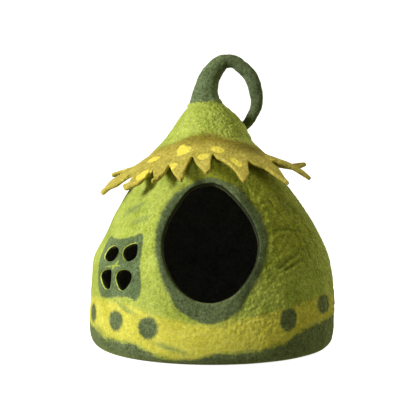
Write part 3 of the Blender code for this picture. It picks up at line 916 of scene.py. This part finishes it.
# Sizes in the wool, in mm
DRIFT_SIZE = 34.0       # paler and deeper drifts, where one handful of carded wool meets the next
RAGGED_SIZE = 10.0      # the tongues in which one wool runs into another
KNOT_SIZE = 5.2         # the small knots that rubbing leaves on the surface
TUFT_SIZE = 4.2         # single tufts
STRAND_SIZE = 2.1       # real fibres are 0.03 mm thick: they are drawn as strands, or they would not show
KNOT_DEPTH = 0.0020     # in metres, as the next one
STRAND_DEPTH = 0.0007
LAID = (0.45, 0.45, 1.3)        # wool is laid round the body, so its tongues are longer sideways than upwards


def wool_felt(name, ground, layers):
    """Wet-felted wool: dyed wool laid in layers, wetted, and rubbed until it locks into one cloth.

    To the eye it is matt, with a soft pale bloom where it turns away. No dye is even: tufts of two shades
    show side by side, with fine darker and lighter strands. Where one wool lies on another, the border is
    ragged. The layers are the wools laid on the ground and the painted shades, the lowest first.
    """
    material = bpy.data.materials.new(name)
    material.use_nodes = True
    tree = material.node_tree
    shader = tree.nodes["Principled BSDF"]
    here = add_node(tree, "TexCoord").outputs["Object"]
    laid = add_node(tree, "VectorMath", {0: here, 1: LAID}, operation="MULTIPLY").outputs["Vector"]
    drift = add_node(tree, "TexNoise", {"Vector": here, "Scale": MM / DRIFT_SIZE, "Detail": 6,
                                        "Roughness": 0.62})
    ragged = add_node(tree, "TexNoise", {"Vector": laid, "Scale": MM / RAGGED_SIZE, "Detail": 5,
                                         "Roughness": 0.72, "Distortion": 0.6})
    tuft = add_node(tree, "TexNoise", {"Vector": here, "Scale": MM / TUFT_SIZE, "Detail": 4,
                                       "Roughness": 0.75, "Distortion": 1.0})
    strand = add_node(tree, "TexNoise", {"Vector": here, "Scale": MM / STRAND_SIZE, "Detail": 3,
                                         "Roughness": 0.7, "Distortion": 1.5})

    # Each dye is a mix of two shades, and both follow the same drifts and tufts
    blend = add_node(tree, "Mix", {0: 0.55, 2: drift.outputs["Fac"], 3: tuft.outputs["Fac"]})
    shade = add_node(tree, "MapRange", {"Value": blend.outputs[0], "From Min": 0.38, "From Max": 0.62})
    colour = None
    for field, deep, light, soft, uneven in ((None, *ground, 0, 0), *layers):
        dye = add_node(tree, "Mix", {0: shade.outputs["Result"], 6: linear(deep), 7: linear(light)},
                       data_type="RGBA").outputs[2]
        if field is None:
            colour = dye
            continue
        inside = add_node(tree, "Attribute", attribute_name=field).outputs["Fac"]
        shifted = add_node(tree, "Math", {0: ragged.outputs["Fac"], 1: 2 * uneven, 2: inside},
                           operation="MULTIPLY_ADD")
        mask = add_node(tree, "MapRange", {"Value": shifted.outputs["Value"], "From Min": uneven - soft,
                                           "From Max": uneven + soft}, interpolation_type="SMOOTHSTEP")
        colour = add_node(tree, "Mix", {0: mask.outputs["Result"], 6: colour, 7: dye},
                          data_type="RGBA").outputs[2]

    # Tufts and strands are lighter or darker, a little yellower or greener, and more or less strong in colour
    by_tuft = add_node(tree, "MapRange", {"Value": tuft.outputs["Fac"], "From Min": 0.30,
                                          "From Max": 0.70, "To Min": 0.80, "To Max": 1.20})
    by_strand = add_node(tree, "MapRange", {"Value": strand.outputs["Fac"], "From Min": 0.30,
                                            "From Max": 0.70, "To Min": 0.78, "To Max": 1.22})
    bright = add_node(tree, "Math", {0: by_tuft.outputs["Result"], 1: by_strand.outputs["Result"]},
                      operation="MULTIPLY")
    change = add_node(tree, "Math", {0: bright.outputs["Value"], 1: 1.0}, operation="SUBTRACT")
    speckle = add_node(tree, "Attribute", attribute_name="speckle").outputs["Fac"]
    speckled = add_node(tree, "Math", {0: change.outputs["Value"], 1: speckle, 2: 1.0},
                        operation="MULTIPLY_ADD")
    strength = add_node(tree, "MapRange", {"Value": strand.outputs["Color"], "From Min": 0.30,
                                           "From Max": 0.70, "To Min": 0.82, "To Max": 1.18})
    hue = add_node(tree, "MapRange", {"Value": tuft.outputs["Color"], "From Min": 0.30,
                                      "From Max": 0.70, "To Min": 0.515, "To Max": 0.487})
    flecked = add_node(tree, "HueSaturation", {
        "Hue": hue.outputs["Result"], "Saturation": strength.outputs["Result"],
        "Value": speckled.outputs["Value"], "Color": colour})

    # The nap: small knots where the wool is rough, and strands all over
    knots = add_node(tree, "TexVoronoi", {"Vector": here, "Scale": MM / KNOT_SIZE, "Smoothness": 0.35},
                     feature="SMOOTH_F1")
    rough = add_node(tree, "Attribute", attribute_name="rough").outputs["Fac"]
    knotty = add_node(tree, "Math", {0: knots.outputs["Distance"], 1: rough}, operation="MULTIPLY")
    knotted = add_node(tree, "Bump", {"Height": knotty.outputs["Value"], "Strength": 1.0,
                                      "Distance": -KNOT_DEPTH})
    napped = add_node(tree, "Bump", {"Height": strand.outputs["Fac"], "Strength": 0.6,
                                     "Distance": STRAND_DEPTH, "Normal": knotted.outputs["Normal"]})
    tree.links.new(flecked.outputs["Color"], shader.inputs["Base Color"])
    tree.links.new(napped.outputs["Normal"], shader.inputs["Normal"])
    shader.inputs["Roughness"].default_value = 0.95
    shader.inputs["Specular IOR Level"].default_value = 0.1
    shader.inputs["Sheen Weight"].default_value = 0.4
    shader.inputs["Sheen Roughness"].default_value = 0.5
    shader.inputs["Sheen Tint"].default_value = linear(ground[1])
    return material


# Dyed wools, each with its deep and its light shade
LIME = ("#86952f", "#b8c25a")               # the body's ground
SHADE_LIME = ("#6b741a", "#989c2b")          # painted shade: a deeper green on the body's right side and under the collar's front
CREASE_SHADE_GREEN = ("#4a560f", "#69761b")       # painted shade in the pressed creases
WISP_GREEN = ("#707c3c", "#93a254")
YELLOW = ("#b4ad34", "#ddd75a")             # the band
MOSS = ("#445030", "#6c7950")               # the foot, the dots, the doorway's ring and the crown's top
RING_SHADE_MOSS = ("#303b22", "#505d3a")          # painted shade on the doorway ring's inner edge at both sides
PATCH_GREEN = ("#44542f", "#6a7b53")        # round the window holes
HOLE_LIME = ("#cfdc62", "#e6f07c")          # the thin lime line in the window holes' cut edges
INSIDE_SHADE_BLACK = ("#0f0f0f", "#181818")             # painted shade: near-black in the cut edges and just inside them
HOLLOW_SHADE_GREY = ("#66666a", "#7a7a7e")             # painted shade: grey over the inside, further in
MUSTARD = ("#96892f", "#cdbd57")            # the collar
OLIVE_AND_SHADE = ("#6e631c", "#8f802a")              # olive wool at the collar's root and on the wall just above it, darkened there as painted shade; also painted shade on the collar's right side
SPOT_YELLOW = ("#dfcc4a", "#efe05c")        # the collar's spots
STEM_GREEN = ("#4a5735", "#738258")
STEM_SHADE_GREEN = ("#414c30", "#66724e")          # painted shade on the stem's far limb

body = make_body()
body.data.materials.append(wool_felt("wet_felted_lime_wool", LIME, (
    # field, deep shade, light shade, softness and unevenness of the edge in mm
    # painted shade on the body's right side and under the collar's front
    ("deep", *SHADE_LIME, 18.0, 14.0),
    # painted shade in the pressed creases
    ("crease", *CREASE_SHADE_GREEN, 0.5, 0.35),
    ("band", *YELLOW, 6.0, 13.0),
    ("base", *MOSS, 4.0, 12.0),
    ("wisps", *WISP_GREEN, 4.5, 4.0),
    ("dots", *MOSS, 2.6, 4.5),
    ("patch", *PATCH_GREEN, 2.2, 4.0),
    ("cross", *LIME, 0.8, 1.0),
    ("ring", *MOSS, 2.4, 4.5),
    # painted shade on the ring's inner edge at both sides
    ("dusk", *RING_SHADE_MOSS, 9.0, 6.0),
    # olive wool at the collar's root, darkened there as painted shade
    ("brim", *OLIVE_AND_SHADE, 5.5, 10.0),
    ("crown", *MOSS, 2.5, 6.0),
    ("line", *HOLE_LIME, 0.4, 0.3),
    # painted shade: near-black in the cut edges and just inside them
    ("inner", *INSIDE_SHADE_BLACK, 0.5, 0.2),
    # painted shade: grey over the inside
    ("hollow", *HOLLOW_SHADE_GREY, 4.0, 1.0),
)))
collar = make_collar()
collar.data.materials.append(wool_felt("wet_felted_mustard_wool", MUSTARD, (
    # olive at the collar's root, and painted shade on the collar's right side
    ("fade", *OLIVE_AND_SHADE, 15.0, 10.0),
    ("root", *LIME, 5.5, 10.0),
    ("spots", *SPOT_YELLOW, 1.3, 1.8),
)))
stem = make_stem()
stem.data.materials.append(wool_felt("wet_felted_moss_wool", STEM_GREEN, (
    # painted shade on the stem's far limb
    ("deep", *STEM_SHADE_GREEN, 14.0, 8.0),
    ("foot", *LIME, 2.5, 8.0),
)))

for piece, node, slot in (
    (body, "felt_body", "lime_wool"),
    (collar, "leaf_collar", "mustard_wool"),
    (stem, "curled_stem", "moss_wool"),
):
    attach(piece, "root")
    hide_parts(node)

# ---------------------------------------------------------------- floor, light and camera
FLOOR_REACH = 3.0       # how far the flat paper goes
FLOOR_BEND = 0.8        # the radius in which it bends up to a wall
FLOOR_TOP = 3.5
FLOOR_SIDES = 96

LIGHTS = (
    # name, place, aim, size, watts, colour
    ("key_light", (-1.70, -1.22, 0.80), (0, 0, 0.2), 0.70, 53, (1, 1, 1.08)),
    ("top_light", (-0.3, -0.6, 2.3), (0, 0, 0.2), 1.2, 11, (1, 1, 1)),
    ("side_light", (1.75, -0.70, 0.40), (0, 0, 0.15), 1.2, 4, (1.02, 1, 0.7)),
    ("back_light", (1.40, 1.60, 0.90), (0, 0, 0.25), 0.9, 9, (1, 1, 1)),
)
ROOM_LIGHT = (1.05, 1.0, 0.42, 1)       # a warm fill for the shaded side
ROOM_STRENGTH = 0.17

CAMERA_PLACE = (-0.00664, -1.25, 0.225)
CAMERA_LENS = 65.14                     # in mm, on Blender's 36 mm wide film


def white_paper():
    """Matt white studio paper. It glows, so that it looks the same white all over, as when lit from behind."""
    paper = bpy.data.materials.new("white_paper")
    paper.use_nodes = True
    shader = paper.node_tree.nodes["Principled BSDF"]
    shader.inputs["Base Color"].default_value = linear("#f7f7f5")
    shader.inputs["Roughness"].default_value = 0.9
    shader.inputs["Emission Color"].default_value = (1, 1, 1, 1)
    shader.inputs["Emission Strength"].default_value = 0.95
    return paper


def make_floor():
    """A round paper floor that bends up to a wall on all sides."""
    bends = np.linspace(0.1, math.pi / 2, 14)
    line = [(FLOOR_REACH, 0.0)]
    line += [(FLOOR_REACH + FLOOR_BEND * math.sin(t), FLOOR_BEND * (1 - math.cos(t))) for t in bends]
    line.append((FLOOR_REACH + FLOOR_BEND, FLOOR_TOP))
    turns = 2 * math.pi * np.arange(FLOOR_SIDES) / FLOOR_SIDES
    points = np.array([(radius * math.sin(t), radius * math.cos(t), z) for radius, z in line for t in turns])
    faces = [list(range(FLOOR_SIDES))[::-1]]
    for first in range(0, (len(line) - 1) * FLOOR_SIDES, FLOOR_SIDES):
        for k in range(FLOOR_SIDES):
            n = (k + 1) % FLOOR_SIDES
            faces.append([first + k, first + n, first + FLOOR_SIDES + n, first + FLOOR_SIDES + k])
    floor = add_mesh("paper_floor", points, faces)
    floor.data.materials.append(white_paper())
    floor.visible_diffuse = False           # the white paper doesn't brighten the shaded side
    return floor


def soft_light(name, place, aim, size, power, colour):
    """A round soft light that points at a place."""
    lamp = bpy.data.lights.new(name, "AREA")
    lamp.color = colour
    lamp.shape = "DISK"
    lamp.size = size
    lamp.energy = power
    light = bpy.data.objects.new(name, lamp)
    light.location = place
    light.rotation_euler = (Vector(aim) - Vector(place)).to_track_quat("-Z", "Y").to_euler()
    bpy.context.scene.collection.objects.link(light)


make_floor()
for row in LIGHTS:
    soft_light(*row)

world = bpy.data.worlds.new("room")
world.use_nodes = True
world.node_tree.nodes["Background"].inputs["Color"].default_value = ROOM_LIGHT
world.node_tree.nodes["Background"].inputs["Strength"].default_value = ROOM_STRENGTH
bpy.context.scene.world = world
bpy.context.scene.view_settings.view_transform = "Standard"

lens = bpy.data.cameras.new("camera")
lens.lens = CAMERA_LENS
camera = bpy.data.objects.new("camera", lens)
camera.location = CAMERA_PLACE
camera.rotation_euler = (math.pi / 2, 0, 0)
bpy.context.scene.collection.objects.link(camera)
bpy.context.scene.camera = camera
